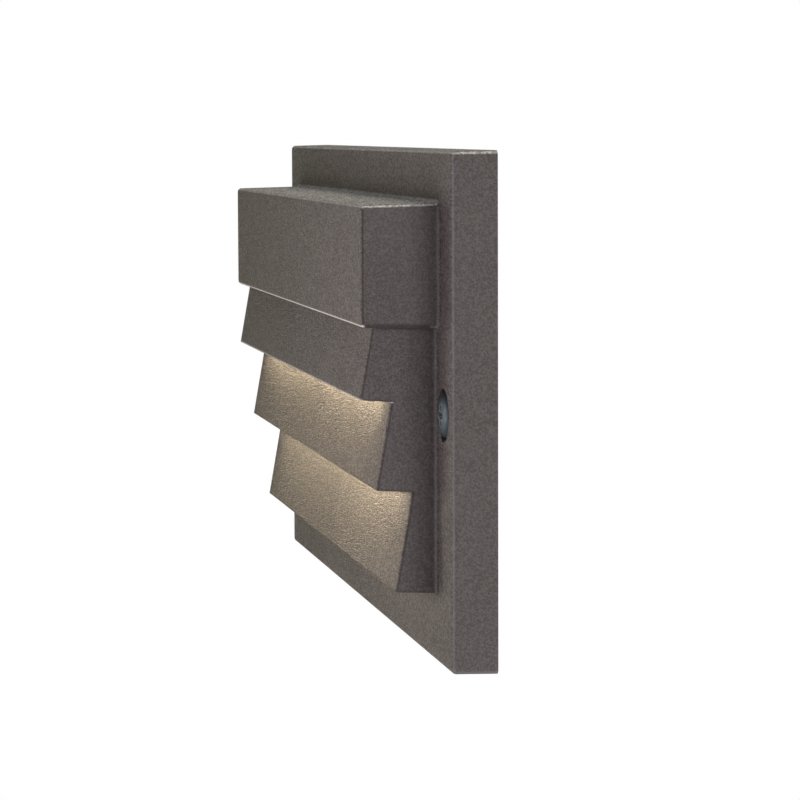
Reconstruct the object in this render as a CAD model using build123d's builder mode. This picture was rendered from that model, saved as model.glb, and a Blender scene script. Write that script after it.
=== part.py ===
from build123d import *
from math import radians, tan
import os

# Surface step light: a cast face with a hood and three louvres, lit from inside its hood.
# The origin is the middle of the wall face. +Z is up, +X is to the right seen from behind
# the viewer, the wall lies at Y = 0 and the front looks along -Y. A "depth" is always the
# distance from the wall towards the front, so a point at depth d has Y = -d. Sizes are mm.

# ---- driving dimensions: plate of the casting ----
plate_w = 152.4
plate_h = 76.2
plate_t = 6.8
plate_draft = 1.3
plate_corner_r = 0.9
plate_edge_r = 0.7
front_wall = 2.0
rim_w = 3.0
rib_t = 1.5
rib_inset = 21.65
rib_outset = 15.35
rib_back = 2.6

# ---- hood ----
hood_margin_x = 8.65
hood_margin_z = 7.7
hood_proud = 11.65
hood_draft = 1.3
hood_wall = 2.2
hood_edge_r = 0.7
base_fillet = 0.85

# ---- louvres: how tall each one shows, and how far its lip stands off the plate ----
louvre_lean = 10.0
louvre_h = (10.45, 13.45, 15.2)
lip_proud = (11.6, 9.2, 6.35)
cheek_inset = 2.3
cheek_wall = 2.2
cheek_edge_r = 0.7
step_fall = 0.3
blade_t = 1.6
blade_lap = 2.0
root_depth = 1.0

# ---- sealed chamber and rear cover ----
chamber_end_wall = 5.55
chamber_r = 1.5
seat_depth = 3.0
seat_w = 6.5
cover_t = 1.2
cover_gap = 0.3
cover_gasket_t = 0.6
cover_gasket_w = 1.8
cover_gasket_gap = 0.7
cover_screw_edge = 2.1
cover_screw_in = 18.5
cover_screw_r = 1.0
cover_screw_head_r = 1.8
cover_screw_head_h = 1.0
cover_screw_l = 4.2

# ---- wire entry ----
grommet_bore_r = 2.75
grommet_neck_r = 4.4
grommet_flange_r = 6.0
grommet_flange_t = 0.9

# ---- lens and its window ----
window_end = 6.0
window_front_gap = 0.5
window_y_w = 7.0
lens_ledge = 1.5
lens_t = 1.8
lens_step = 1.4
lens_clear = 0.2
lens_gasket_t = 0.6

# ---- light engine ----
reflector_t = 2.4
reflector_wall = 0.8
cup_mouth_x = 8.0
cup_flare = 30.0
strip_corner_r = 1.0
led_count = 8
led_end = 8.75
led_x = 3.5
led_y = 2.8
led_body_t = 0.7
led_rim = 0.4
led_recess = 0.15
board_t = 1.2
board_screw_r = 1.0
board_screw_head_r = 1.9
board_screw_head_h = 0.9
board_screw_in = 3.5
pad_t = 0.4
pad_end_gap = 2.5
spreader_t = 1.5
spreader_tab_w = 9.0
spreader_tab_gap = 1.5
spreader_side_gap = 0.5
tab_screw_r = 1.25
tab_screw_head_r = 2.2
tab_screw_head_h = 1.3
tab_screw_l = 7.0
boss_w = 6.6
film_t = 0.3
film_cut = 3.0

# ---- driver ----
driver_end_gap = 3.0
driver_t = 1.0
driver_room = 4.9
driver_gap = 1.4
driver_screw_in = 4.0
driver_screw_r = 0.9
driver_screw_head_r = 1.7
driver_screw_head_h = 1.0
bridge_size = (6.4, 5.0, 2.4)
capacitor_r = 2.5
capacitor_headroom = 1.0
coil_size = (6.2, 6.2, 3.0)
chip_size = (5.0, 3.9, 1.5)
chip_leg = (0.4, 0.9, 0.5)
chip_pitch = 1.27
resistor_size = (2.0, 1.25, 0.6)
resistor_pitch = 3.4
terminal_size = (9.0, 7.0)
terminal_headroom = 1.1
terminal_hole_w = 2.2
terminal_hole_l = 5.0
terminal_pitch = 3.8
header_size = (6.2, 3.0)
header_pin_w = 0.64
header_pitch = 2.54
header_clear = 0.3
header_pin_out = 0.7
chip_chamfer = 0.4
chip_lift = 0.2
coil_lip = 0.7
capacitor_base = 0.7

# ---- mounting ----
face_screw_in = 6.3
face_screw_drop = 12.5
face_screw_r = 1.75
face_head_r = 3.43
face_head_h = 2.2
face_head_crown = 1.4
counterbore_r = 3.94
counterbore_floor = 4.3
washer_t = 0.8
boss_r = 5.2
bracket_t = 1.5
bracket_h = 11.0
bracket_end = 3.1
thread_clear = 0.05
hole_clear = 0.25
hole_end = 0.2
shank_sides = 12
wall_screw_spacing = 83.3
wall_screw_r = 2.25
wall_slot_l = 12.0
screw_tip_back = 0.2

# ---- wall gasket ----
wall_gasket_w = 1.5
wall_gasket_t = 1.0

# ---- places that follow from the sizes above ----
slope = tan(radians(louvre_lean))
total_depth = plate_t + hood_proud
hood_w = plate_w - 2 * hood_margin_x
hood_top = plate_h / 2 - hood_margin_z
engine_h = lens_gasket_t + lens_t + reflector_t + board_t + pad_t + spreader_t
driver_h = film_t + driver_t + driver_room
hood_bottom = hood_top - 2 * hood_wall - engine_h - driver_h
hood_mid_z = (hood_top + hood_bottom) / 2
lip_z = [hood_bottom - sum(louvre_h[: index + 1]) for index in range(len(louvre_h))]
chamber_w = hood_w - 2 * chamber_end_wall
floor_z = hood_bottom + hood_wall
ceiling_z = hood_top - hood_wall
chamber_mid_z = (floor_z + ceiling_z) / 2
chamber_h = ceiling_z - floor_z
chamber_front = total_depth - hood_wall
cage_half = hood_w / 2 - cheek_inset
blade_half = cage_half - cheek_wall
face_screw_x = plate_w / 2 - face_screw_in
face_screw_z = hood_bottom - face_screw_drop
rib_x = (wall_screw_spacing / 2 - rib_inset, wall_screw_spacing / 2 + rib_outset)
seat_outer_w = chamber_w + 2 * seat_w
seat_outer_h = chamber_h + 2 * seat_w
cover_screw_x = seat_outer_w / 2 - cover_screw_in
cover_inner = seat_depth - cover_gasket_t
cover_outer = cover_inner - cover_t
hollow_top = chamber_mid_z - seat_outer_h / 2 - rib_t
hollow_bottom = -plate_h / 2 + rim_w
hollow_depth = plate_t - front_wall

# The lit window lies between the plate's face and the back of the top louvre.
window_w = chamber_w - 2 * window_end
top_blade_proud = lip_proud[0] - (hood_bottom - lip_z[0]) * slope
window_front = plate_t + top_blade_proud - blade_t - window_front_gap
window_back = window_front - window_y_w
window_mid = (window_front + window_back) / 2
strip_w = window_w + 2 * lens_ledge
strip_y_w = window_y_w + 2 * lens_ledge
board_screw_x = strip_w / 2 - board_screw_in

# Heights of the stack that stands on the chamber's floor.
lens_z = floor_z + lens_gasket_t
reflector_z = lens_z + lens_t
board_z = reflector_z + reflector_t
pad_z = board_z + board_t
spreader_z = pad_z + pad_t
film_z = spreader_z + spreader_t
driver_z = film_z + film_t
driver_top = driver_z + driver_t
led_z = board_z - led_body_t
tab_depth = seat_depth + spreader_tab_gap
spreader_front = window_front + lens_ledge
spreader_back = tab_depth
tab_x = chamber_w / 2 - spreader_tab_w / 2 - spreader_side_gap
tab_z = (film_z + ceiling_z) / 2
driver_w = chamber_w - 2 * (spreader_tab_w + driver_end_gap)
driver_screw_x = driver_w / 2 - driver_screw_in
driver_y_w = spreader_front - tab_depth - spreader_t - driver_gap
driver_mid = spreader_front - driver_y_w / 2
engine_mid = (spreader_front + spreader_back) / 2
capacitor_h = driver_room - capacitor_headroom
terminal_h = driver_room - terminal_headroom
led_pitch = (window_w - 2 * led_end) / (led_count - 1)
led_places = [(index - (led_count - 1) / 2) * led_pitch for index in range(led_count)]

# The driver's parts stand in even steps, three to the left of the terminal and four to its right.
left_step = driver_screw_x / 4
right_step = driver_screw_x / 5
header_x = -3 * left_step
capacitor_x = (-2 * left_step, 4 * right_step)
bridge_x = -left_step
resistor_x = right_step
chip_x = 2 * right_step
coil_x = 3 * right_step


def at_depth(depth, z=0.0, x=0.0):
    """Sketch plane parallel to the wall: its X is +X, its Y is +Z, and it extrudes to the front."""
    return Plane(origin=(x, -depth, z), x_dir=(1, 0, 0), z_dir=(0, -1, 0))


def at_height(z, depth=0.0, x=0.0):
    """Level sketch plane: its X is +X, its Y is +Y, and it extrudes upwards."""
    return Plane(origin=(x, -depth, z), x_dir=(1, 0, 0), z_dir=(0, 0, 1))


def louvre_front(index, z):
    """Depth of a louvre's front face at a height."""
    return plate_t + lip_proud[index] - (z - lip_z[index]) * slope


def cheek_points():
    """Stepped side outline of the louvre cage, from the hood down to the plate, as (Y, Z)."""
    root = plate_t - root_depth
    top = hood_bottom + root_depth
    points = [(-root, top), (-louvre_front(0, top), top)]
    last = len(lip_z) - 1
    for index, z in enumerate(lip_z):
        points.append((-louvre_front(index, z), z))
        under = z - step_fall
        inner = louvre_front(index + 1, under) if index < last else root
        points.append((-inner, under))
    return points


def blade_points(index):
    """Section of one leaning louvre blade, lapped behind the lip above it, as (Y, Z)."""
    top = hood_bottom + root_depth if index == 0 else lip_z[index - 1] + blade_lap
    low = lip_z[index]
    return [
        (-louvre_front(index, top), top),
        (-louvre_front(index, low), low),
        (-louvre_front(index, low) + blade_t, low - step_fall),
        (-louvre_front(index, top) + blade_t, top),
    ]


def cover_screw_places():
    """The cover's four screws: two above the chamber and two below it, as (X, Z)."""
    rise = seat_outer_h / 2 - cover_screw_edge
    return [(x, chamber_mid_z + s * rise) for x in (-cover_screw_x, cover_screw_x) for s in (-1, 1)]


def on_root(edge):
    """True where the outside of the hood or of a cheek meets the plate's front face."""
    box = edge.bounding_box()
    middle = edge.center()
    on_face = box.size.Y < 0.01 and abs(box.max.Y + plate_t) < 0.01
    around_hood = abs(middle.X) < hood_w / 2 + 1 and hood_bottom - 1 < middle.Z < hood_top + 1
    outside = middle.Z > hood_mid_z or abs(middle.X) > cage_half - 0.01
    beside_cheek = abs(abs(middle.X) - cage_half) < 0.01 and box.size.Z > box.size.X
    return on_face and ((around_hood and outside) or beside_cheek)


def on_cage_edge(edge):
    """True for a louvre's lip edge, or the leaning edge where its front meets a cheek's side."""
    size = edge.bounding_box().size
    middle = edge.center()
    if middle.Z > hood_bottom or middle.Y > -plate_t - step_fall:
        return False
    is_lip = size.X > 2 * blade_half and any(
        abs(middle.Z - z) < 0.01 and abs(middle.Y + louvre_front(index, z)) < 0.01
        for index, z in enumerate(lip_z)
    )
    is_lean = abs(abs(middle.X) - cage_half) < 0.01 and size.Z > 2 * size.Y and size.X < 0.01
    return is_lip or is_lean


# ---------------------------------------------------------------- face casting
with BuildPart() as face_casting:
    # Plate, drafted towards the front, with soft corners and edges.
    with BuildSketch(at_depth(0)):
        RectangleRounded(plate_w, plate_h, plate_corner_r)
    extrude(amount=plate_t, taper=plate_draft)
    fillet(faces().sort_by(Axis.Y)[0].edges(), plate_edge_r)

    # Hood, blended into the plate at its root.
    with BuildSketch(at_depth(plate_t - root_depth, hood_mid_z)):
        Rectangle(hood_w, hood_top - hood_bottom)
    extrude(amount=hood_proud + root_depth, taper=hood_draft)
    hood_face = faces().sort_by(Axis.Y)[0]
    rising = edges().filter_by(lambda e: e.bounding_box().min.Y < -plate_t - 1).filter_by(
        lambda e: e.bounding_box().size.Y > hood_proud - 1
    )
    fillet(hood_face.edges() + rising, hood_edge_r)

    # Two stepped cheeks carry the blades.
    for side in (-1, 1):
        start = cage_half - cheek_wall if side > 0 else -cage_half
        with BuildSketch(Plane.YZ.offset(start)):
            with BuildLine():
                Polyline(*cheek_points(), close=True)
            make_face()
        extrude(amount=cheek_wall)

    # Leaning blades, open behind and below.
    for index in range(len(lip_z)):
        with BuildSketch(Plane.YZ.offset(-blade_half)):
            with BuildLine():
                Polyline(*blade_points(index), close=True)
            make_face()
        extrude(amount=2 * blade_half)
    fillet(edges().filter_by(on_root), base_fillet)
    fillet(edges().filter_by(on_cage_edge), cheek_edge_r)

    # Light chamber inside the hood, open at the back, with a seat for its cover.
    with BuildSketch(at_depth(0, chamber_mid_z)):
        RectangleRounded(chamber_w, chamber_h, chamber_r)
    extrude(amount=chamber_front, mode=Mode.SUBTRACT)
    with BuildSketch(at_depth(0, chamber_mid_z)):
        RectangleRounded(seat_outer_w, seat_outer_h, chamber_r)
    extrude(amount=seat_depth, mode=Mode.SUBTRACT)
    with BuildSketch(at_height(hood_bottom - root_depth, window_mid)):
        Rectangle(window_w, window_y_w)
    extrude(amount=hood_wall + 2 * root_depth, mode=Mode.SUBTRACT)

    # Posts for the light engine's two tabs.
    post_low = film_z + film_t
    post_high = ceiling_z + hood_wall / 2
    with BuildSketch(at_depth(tab_depth + spreader_t, (post_low + post_high) / 2)):
        with Locations((-tab_x, 0), (tab_x, 0)):
            Rectangle(boss_w, post_high - post_low)
    extrude(amount=chamber_front + hood_wall / 2 - tab_depth - spreader_t)
    with BuildSketch(at_depth(tab_depth + spreader_t, tab_z)):
        with Locations((-tab_x, 0), (tab_x, 0)):
            Circle(tab_screw_r)
    extrude(amount=tab_screw_l - spreader_t + hole_end, mode=Mode.SUBTRACT)

    # Relief behind the louvres, with ribs and the two screw posts left standing.
    hollow_h = hollow_top - hollow_bottom
    with BuildSketch(at_depth(0, (hollow_top + hollow_bottom) / 2)):
        RectangleRounded(plate_w - 2 * rim_w, hollow_h, chamber_r)
    extrude(amount=hollow_depth, mode=Mode.SUBTRACT)
    with BuildSketch(at_depth(rib_back, (hollow_top + hollow_bottom) / 2)):
        for x in rib_x:
            with Locations((-x, 0), (x, 0)):
                Rectangle(rib_t, hollow_h)
    extrude(amount=hollow_depth - rib_back)
    with BuildSketch(at_depth(bracket_t, face_screw_z)):
        with Locations((-face_screw_x, 0), (face_screw_x, 0)):
            Circle(boss_r)
    extrude(amount=hollow_depth - bracket_t)

    # Counterbored holes for the face screws.
    with BuildSketch(at_depth(counterbore_floor, face_screw_z)):
        with Locations((-face_screw_x, 0), (face_screw_x, 0)):
            Circle(counterbore_r)
    extrude(amount=total_depth, mode=Mode.SUBTRACT)
    with BuildSketch(at_depth(0, face_screw_z)):
        with Locations((-face_screw_x, 0), (face_screw_x, 0)):
            Circle(face_screw_r + hole_clear)
    extrude(amount=plate_t, mode=Mode.SUBTRACT)

    # Pilot holes for the cover's screws, and the groove for the wall gasket.
    with BuildSketch(at_depth(seat_depth)):
        with Locations(*cover_screw_places()):
            Circle(cover_screw_r)
    extrude(amount=cover_screw_l - cover_gasket_t - cover_t + hole_end, mode=Mode.SUBTRACT)
    with BuildSketch(at_depth(0)):
        Rectangle(plate_w - rim_w + wall_gasket_w, plate_h - rim_w + wall_gasket_w)
        Rectangle(plate_w - rim_w - wall_gasket_w, plate_h - rim_w - wall_gasket_w, mode=Mode.SUBTRACT)
    extrude(amount=wall_gasket_t, mode=Mode.SUBTRACT)
face_casting.part.label = "face_casting"


# ---------------------------------------------------------------- lens and its gasket
with BuildPart() as lens_gasket:
    with BuildSketch(at_height(floor_z, window_mid)):
        Rectangle(strip_w, strip_y_w)
        Rectangle(window_w, window_y_w, mode=Mode.SUBTRACT)
    extrude(amount=lens_gasket_t)
lens_gasket.part.label = "lens_gasket"

with BuildPart() as diffuser_lens:
    with BuildSketch(at_height(lens_z, window_mid)):
        RectangleRounded(strip_w, strip_y_w, strip_corner_r)
    extrude(amount=lens_t)
    with BuildSketch(at_height(lens_z, window_mid)):
        Rectangle(window_w - 2 * lens_clear, window_y_w - 2 * lens_clear)
    extrude(amount=-(lens_gasket_t + lens_step))
diffuser_lens.part.label = "diffuser_lens"

# ---------------------------------------------------------------- light engine
with BuildPart() as reflector_strip:
    with BuildSketch(at_height(reflector_z, window_mid)):
        Rectangle(strip_w, strip_y_w)
    extrude(amount=reflector_t)
    with BuildSketch(at_height(reflector_z, window_mid)):
        with Locations(*[(x, 0) for x in led_places]):
            Rectangle(cup_mouth_x, strip_y_w - 2 * reflector_wall)
    extrude(amount=reflector_t, taper=cup_flare, mode=Mode.SUBTRACT)
    with BuildSketch(at_height(reflector_z, window_mid)):
        with Locations((-board_screw_x, 0), (board_screw_x, 0)):
            Circle(board_screw_head_r + hole_clear)
    extrude(amount=reflector_t, mode=Mode.SUBTRACT)
reflector_strip.part.label = "reflector_strip"

with BuildPart() as led_board:
    with BuildSketch(at_height(board_z, window_mid)):
        Rectangle(strip_w, strip_y_w)
        with Locations((-board_screw_x, 0), (board_screw_x, 0)):
            Circle(board_screw_r + hole_clear, mode=Mode.SUBTRACT)
    extrude(amount=board_t)
led_board.part.label = "led_board"

with BuildPart() as led_packages:
    with BuildSketch(at_height(led_z, window_mid)):
        with Locations(*[(x, 0) for x in led_places]):
            Rectangle(led_x, led_y)
    extrude(amount=led_body_t)
    with BuildSketch(at_height(led_z, window_mid)):
        with Locations(*[(x, 0) for x in led_places]):
            Rectangle(led_x - 2 * led_rim, led_y - 2 * led_rim)
    extrude(amount=led_recess, mode=Mode.SUBTRACT)
led_packages.part.label = "led_packages"

with BuildPart() as led_board_screws:
    with BuildSketch(at_height(board_z, window_mid)):
        with Locations((-board_screw_x, 0), (board_screw_x, 0)):
            Circle(board_screw_head_r)
    extrude(amount=-board_screw_head_h)
    with BuildSketch(at_height(board_z, window_mid)):
        with Locations((-board_screw_x, 0), (board_screw_x, 0)):
            RegularPolygon(board_screw_r, shank_sides)
    extrude(amount=film_z - board_z)
led_board_screws.part.label = "led_board_screws"

with BuildPart() as thermal_pad:
    with BuildSketch(at_height(pad_z, window_mid)):
        Rectangle(2 * (board_screw_x - pad_end_gap), strip_y_w)
    extrude(amount=pad_t)
    with BuildSketch(at_height(pad_z, driver_mid, header_x)):
        Rectangle(header_size[0] + header_clear, header_size[1] + header_clear)
    extrude(amount=pad_t, mode=Mode.SUBTRACT)
thermal_pad.part.label = "thermal_pad"

with BuildPart() as heat_spreader:
    with BuildSketch(at_height(spreader_z, engine_mid)):
        Rectangle(chamber_w - 2 * spreader_side_gap, spreader_front - spreader_back)
    extrude(amount=spreader_t)
    with BuildSketch(at_depth(tab_depth, (spreader_z + ceiling_z - spreader_tab_gap) / 2)):
        with Locations((-tab_x, 0), (tab_x, 0)):
            Rectangle(spreader_tab_w, ceiling_z - spreader_tab_gap - spreader_z)
    extrude(amount=spreader_t)
    with BuildSketch(at_depth(tab_depth, tab_z)):
        with Locations((-tab_x, 0), (tab_x, 0)):
            Circle(tab_screw_r + hole_clear)
    extrude(amount=spreader_t, mode=Mode.SUBTRACT)
    with BuildSketch(at_height(spreader_z, window_mid)):
        with Locations((-board_screw_x, 0), (board_screw_x, 0)):
            Circle(board_screw_r + thread_clear)
    extrude(amount=spreader_t, mode=Mode.SUBTRACT)
    with BuildSketch(at_height(spreader_z, driver_mid)):
        with Locations((-driver_screw_x, 0), (driver_screw_x, 0)):
            Circle(driver_screw_r + thread_clear)
        with Locations((header_x, 0)):
            Rectangle(header_size[0] + header_clear, header_size[1] + header_clear)
    extrude(amount=spreader_t, mode=Mode.SUBTRACT)
heat_spreader.part.label = "heat_spreader"

with BuildPart() as spreader_screws:
    with BuildSketch(at_depth(tab_depth, tab_z)):
        with Locations((-tab_x, 0), (tab_x, 0)):
            Circle(tab_screw_head_r)
    extrude(amount=-tab_screw_head_h)
    with BuildSketch(at_depth(tab_depth, tab_z)):
        with Locations((-tab_x, 0), (tab_x, 0)):
            RegularPolygon(tab_screw_r - thread_clear, shank_sides)
    extrude(amount=tab_screw_l)
spreader_screws.part.label = "spreader_screws"

# ---------------------------------------------------------------- driver
with BuildPart() as insulating_film:
    with BuildSketch(at_height(film_z, driver_mid)):
        Rectangle(driver_w, driver_y_w)
        with Locations((-driver_screw_x, 0), (driver_screw_x, 0)):
            Rectangle(film_cut, film_cut, mode=Mode.SUBTRACT)
        with Locations((header_x, 0)):
            Rectangle(header_size[0] + header_clear, header_size[1] + header_clear, mode=Mode.SUBTRACT)
    extrude(amount=film_t)
insulating_film.part.label = "insulating_film"

with BuildPart() as driver_board:
    with BuildSketch(at_height(driver_z, driver_mid)):
        Rectangle(driver_w, driver_y_w)
        with Locations((-driver_screw_x, 0), (driver_screw_x, 0)):
            Circle(driver_screw_r + hole_clear, mode=Mode.SUBTRACT)
        with Locations((header_x - header_pitch / 2, 0), (header_x + header_pitch / 2, 0)):
            Rectangle(header_pin_w + thread_clear, header_pin_w + thread_clear, mode=Mode.SUBTRACT)
    extrude(amount=driver_t)
driver_board.part.label = "driver_board"

with BuildPart() as driver_screws:
    with BuildSketch(at_height(driver_top, driver_mid)):
        with Locations((-driver_screw_x, 0), (driver_screw_x, 0)):
            Circle(driver_screw_head_r)
    extrude(amount=driver_screw_head_h)
    with BuildSketch(at_height(spreader_z, driver_mid)):
        with Locations((-driver_screw_x, 0), (driver_screw_x, 0)):
            RegularPolygon(driver_screw_r, shank_sides)
    extrude(amount=driver_top - spreader_z)
driver_screws.part.label = "driver_screws"

with BuildPart() as board_header:
    with BuildSketch(at_height(pad_z, driver_mid, header_x)):
        Rectangle(*header_size)
        with GridLocations(header_pitch, 0, 2, 1):
            Rectangle(header_pin_w, header_pin_w, mode=Mode.SUBTRACT)
    extrude(amount=driver_z - pad_z)
board_header.part.label = "board_header"

with BuildPart() as header_pins:
    with BuildSketch(at_height(pad_z, driver_mid, header_x)):
        with GridLocations(header_pitch, 0, 2, 1):
            Rectangle(header_pin_w, header_pin_w)
    extrude(amount=driver_top + header_pin_out - pad_z)
header_pins.part.label = "header_pins"

with BuildPart() as bridge_rectifier:
    with BuildSketch(at_height(driver_top, driver_mid, bridge_x)):
        Rectangle(bridge_size[0], bridge_size[1])
    extrude(amount=bridge_size[2])
    chamfer(faces().sort_by(Axis.Z)[-1].edges(), chip_chamfer)
bridge_rectifier.part.label = "bridge_rectifier"

with BuildPart() as capacitors:
    for x in capacitor_x:
        with BuildSketch(at_height(driver_top, driver_mid, x)):
            Rectangle(2 * capacitor_r, 2 * capacitor_r)
        extrude(amount=capacitor_base)
        with BuildSketch(at_height(driver_top + capacitor_base, driver_mid, x)):
            Circle(capacitor_r - hole_end)
        extrude(amount=capacitor_h - capacitor_base)
capacitors.part.label = "capacitors"

with BuildPart() as power_coil:
    with BuildSketch(at_height(driver_top, driver_mid, coil_x)):
        Rectangle(coil_size[0], coil_size[1])
    extrude(amount=coil_size[2])
    with BuildSketch(at_height(driver_top + coil_size[2], driver_mid, coil_x)):
        Circle(coil_size[0] / 2 - coil_lip)
    extrude(amount=-coil_lip, mode=Mode.SUBTRACT)
power_coil.part.label = "power_coil"

with BuildPart() as driver_chip:
    with BuildSketch(at_height(driver_top + chip_lift, driver_mid, chip_x)):
        Rectangle(chip_size[0], chip_size[1])
    extrude(amount=chip_size[2])
    with BuildSketch(at_height(driver_top, driver_mid, chip_x)):
        with GridLocations(chip_pitch, chip_size[1] + chip_leg[1] / 2, 4, 2):
            Rectangle(chip_leg[0], chip_leg[1])
    extrude(amount=chip_lift + chip_leg[2])
driver_chip.part.label = "driver_chip"

with BuildPart() as chip_resistors:
    with BuildSketch(at_height(driver_top, driver_mid, resistor_x)):
        with GridLocations(resistor_pitch, resistor_pitch, 2, 2):
            Rectangle(resistor_size[0], resistor_size[1])
    extrude(amount=resistor_size[2])
chip_resistors.part.label = "chip_resistors"

with BuildPart() as supply_terminal:
    with BuildSketch(at_height(driver_top, driver_mid)):
        Rectangle(*terminal_size)
    extrude(amount=terminal_h)
    terminal_back = driver_mid - terminal_size[1] / 2
    with BuildSketch(at_depth(terminal_back, driver_top + terminal_h / 2)):
        with GridLocations(terminal_pitch, 0, 2, 1):
            Rectangle(terminal_hole_w, terminal_hole_w)
    extrude(amount=terminal_hole_l, mode=Mode.SUBTRACT)
supply_terminal.part.label = "supply_terminal"

# ---------------------------------------------------------------- rear cover
with BuildPart() as cover_gasket:
    with BuildSketch(at_depth(cover_inner, chamber_mid_z)):
        grow = 2 * (cover_gasket_gap + cover_gasket_w)
        RectangleRounded(chamber_w + grow, chamber_h + grow, chamber_r + cover_gasket_w)
        RectangleRounded(
            chamber_w + 2 * cover_gasket_gap, chamber_h + 2 * cover_gasket_gap, chamber_r, mode=Mode.SUBTRACT
        )
    extrude(amount=cover_gasket_t)
cover_gasket.part.label = "cover_gasket"

with BuildPart() as rear_cover:
    with BuildSketch(at_depth(cover_outer, chamber_mid_z)):
        RectangleRounded(seat_outer_w - 2 * cover_gap, seat_outer_h - 2 * cover_gap, chamber_r)
        Circle(grommet_neck_r, mode=Mode.SUBTRACT)
    extrude(amount=cover_t)
    with BuildSketch(at_depth(cover_outer)):
        with Locations(*cover_screw_places()):
            Circle(cover_screw_r + hole_clear)
    extrude(amount=cover_t, mode=Mode.SUBTRACT)
rear_cover.part.label = "rear_cover"

with BuildPart() as cover_screws:
    with BuildSketch(at_depth(cover_outer)):
        with Locations(*cover_screw_places()):
            Circle(cover_screw_head_r)
    extrude(amount=-cover_screw_head_h)
    with BuildSketch(at_depth(cover_outer)):
        with Locations(*cover_screw_places()):
            RegularPolygon(cover_screw_r - thread_clear, shank_sides)
    extrude(amount=cover_screw_l)
cover_screws.part.label = "cover_screws"

with BuildPart() as wire_grommet:
    with BuildSketch(at_depth(cover_outer - grommet_flange_t, chamber_mid_z)):
        Circle(grommet_flange_r)
    extrude(amount=grommet_flange_t)
    with BuildSketch(at_depth(cover_outer, chamber_mid_z)):
        Circle(grommet_neck_r)
    extrude(amount=cover_t)
    with BuildSketch(at_depth(cover_inner, chamber_mid_z)):
        Circle(grommet_flange_r)
    extrude(amount=grommet_flange_t)
    with BuildSketch(at_depth(cover_outer - grommet_flange_t, chamber_mid_z)):
        Circle(grommet_bore_r)
    extrude(amount=cover_t + 2 * grommet_flange_t, mode=Mode.SUBTRACT)
wire_grommet.part.label = "wire_grommet"

# ---------------------------------------------------------------- mounting
with BuildPart() as mounting_bracket:
    with BuildSketch(at_depth(0, face_screw_z)):
        RectangleRounded(2 * (face_screw_x + bracket_end), bracket_h, bracket_end - hole_end)
        with Locations((-face_screw_x, 0), (face_screw_x, 0)):
            Circle(face_screw_r + thread_clear, mode=Mode.SUBTRACT)
        with Locations((-wall_screw_spacing / 2, 0), (wall_screw_spacing / 2, 0)):
            SlotOverall(wall_slot_l, 2 * wall_screw_r, mode=Mode.SUBTRACT)
    extrude(amount=bracket_t)
mounting_bracket.part.label = "mounting_bracket"

head_seat = counterbore_floor + washer_t
with BuildPart() as face_screws:
    with BuildSketch(at_depth(screw_tip_back, face_screw_z)):
        with Locations((-face_screw_x, 0), (face_screw_x, 0)):
            Circle(face_screw_r)
    extrude(amount=head_seat - screw_tip_back)
    for x in (-face_screw_x, face_screw_x):
        with BuildSketch(Plane(origin=(x, 0, face_screw_z), x_dir=(1, 0, 0), z_dir=(0, 0, 1))):
            with BuildLine():
                base = (0, -head_seat)
                edge = (face_head_r, -head_seat)
                rim = (face_head_r, -head_seat - face_head_h + face_head_crown)
                crest = (0, -head_seat - face_head_h)
                shoulder = (face_head_r - face_head_crown, -head_seat - face_head_h)
                Polyline(crest, base, edge, rim, shoulder, close=True)
            make_face()
        revolve(axis=Axis((x, 0, face_screw_z), (0, 1, 0)), revolution_arc=360)
face_screws.part.label = "face_screws"

with BuildPart() as sealing_washers:
    with BuildSketch(at_depth(counterbore_floor, face_screw_z)):
        with Locations((-face_screw_x, 0), (face_screw_x, 0)):
            Circle(face_head_r)
            Circle(face_screw_r + thread_clear, mode=Mode.SUBTRACT)
    extrude(amount=washer_t)
sealing_washers.part.label = "sealing_washers"

with BuildPart() as wall_gasket:
    with BuildSketch(at_depth(0)):
        outer = wall_gasket_w - 2 * thread_clear
        Rectangle(plate_w - rim_w + outer, plate_h - rim_w + outer)
        Rectangle(plate_w - rim_w - outer, plate_h - rim_w - outer, mode=Mode.SUBTRACT)
    extrude(amount=wall_gasket_t)
wall_gasket.part.label = "wall_gasket"

# ---------------------------------------------------------------- write every piece
pieces = [
    face_casting, lens_gasket, diffuser_lens, reflector_strip, led_board, led_packages,
    led_board_screws, thermal_pad, heat_spreader, spreader_screws, insulating_film, driver_board,
    driver_screws, board_header, header_pins, bridge_rectifier, capacitors, power_coil, driver_chip,
    chip_resistors, supply_terminal, cover_gasket, rear_cover, cover_screws, wire_grommet,
    mounting_bracket, face_screws, sealing_washers, wall_gasket,
]
os.makedirs("parts", exist_ok=True)
for piece in pieces:
    export_step(piece.part, f"parts/{piece.part.label}.step")
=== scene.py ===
"""Surface step light: a powder-coated cast face with a boxed hood and three lit louvres.

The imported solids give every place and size. This script dresses them: the coat, metals, rubbers
and boards get their finishes, small screws are rebuilt with the detail that their plain solids
leave out, and a studio with the light switched on is set round them. Metres throughout.
"""

import logging
from abc import ABC, abstractmethod
from dataclasses import dataclass
from enum import Enum
from functools import reduce
from math import cos, pi, radians, sin

import bmesh
import bpy
from mathutils import Matrix, Vector


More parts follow.
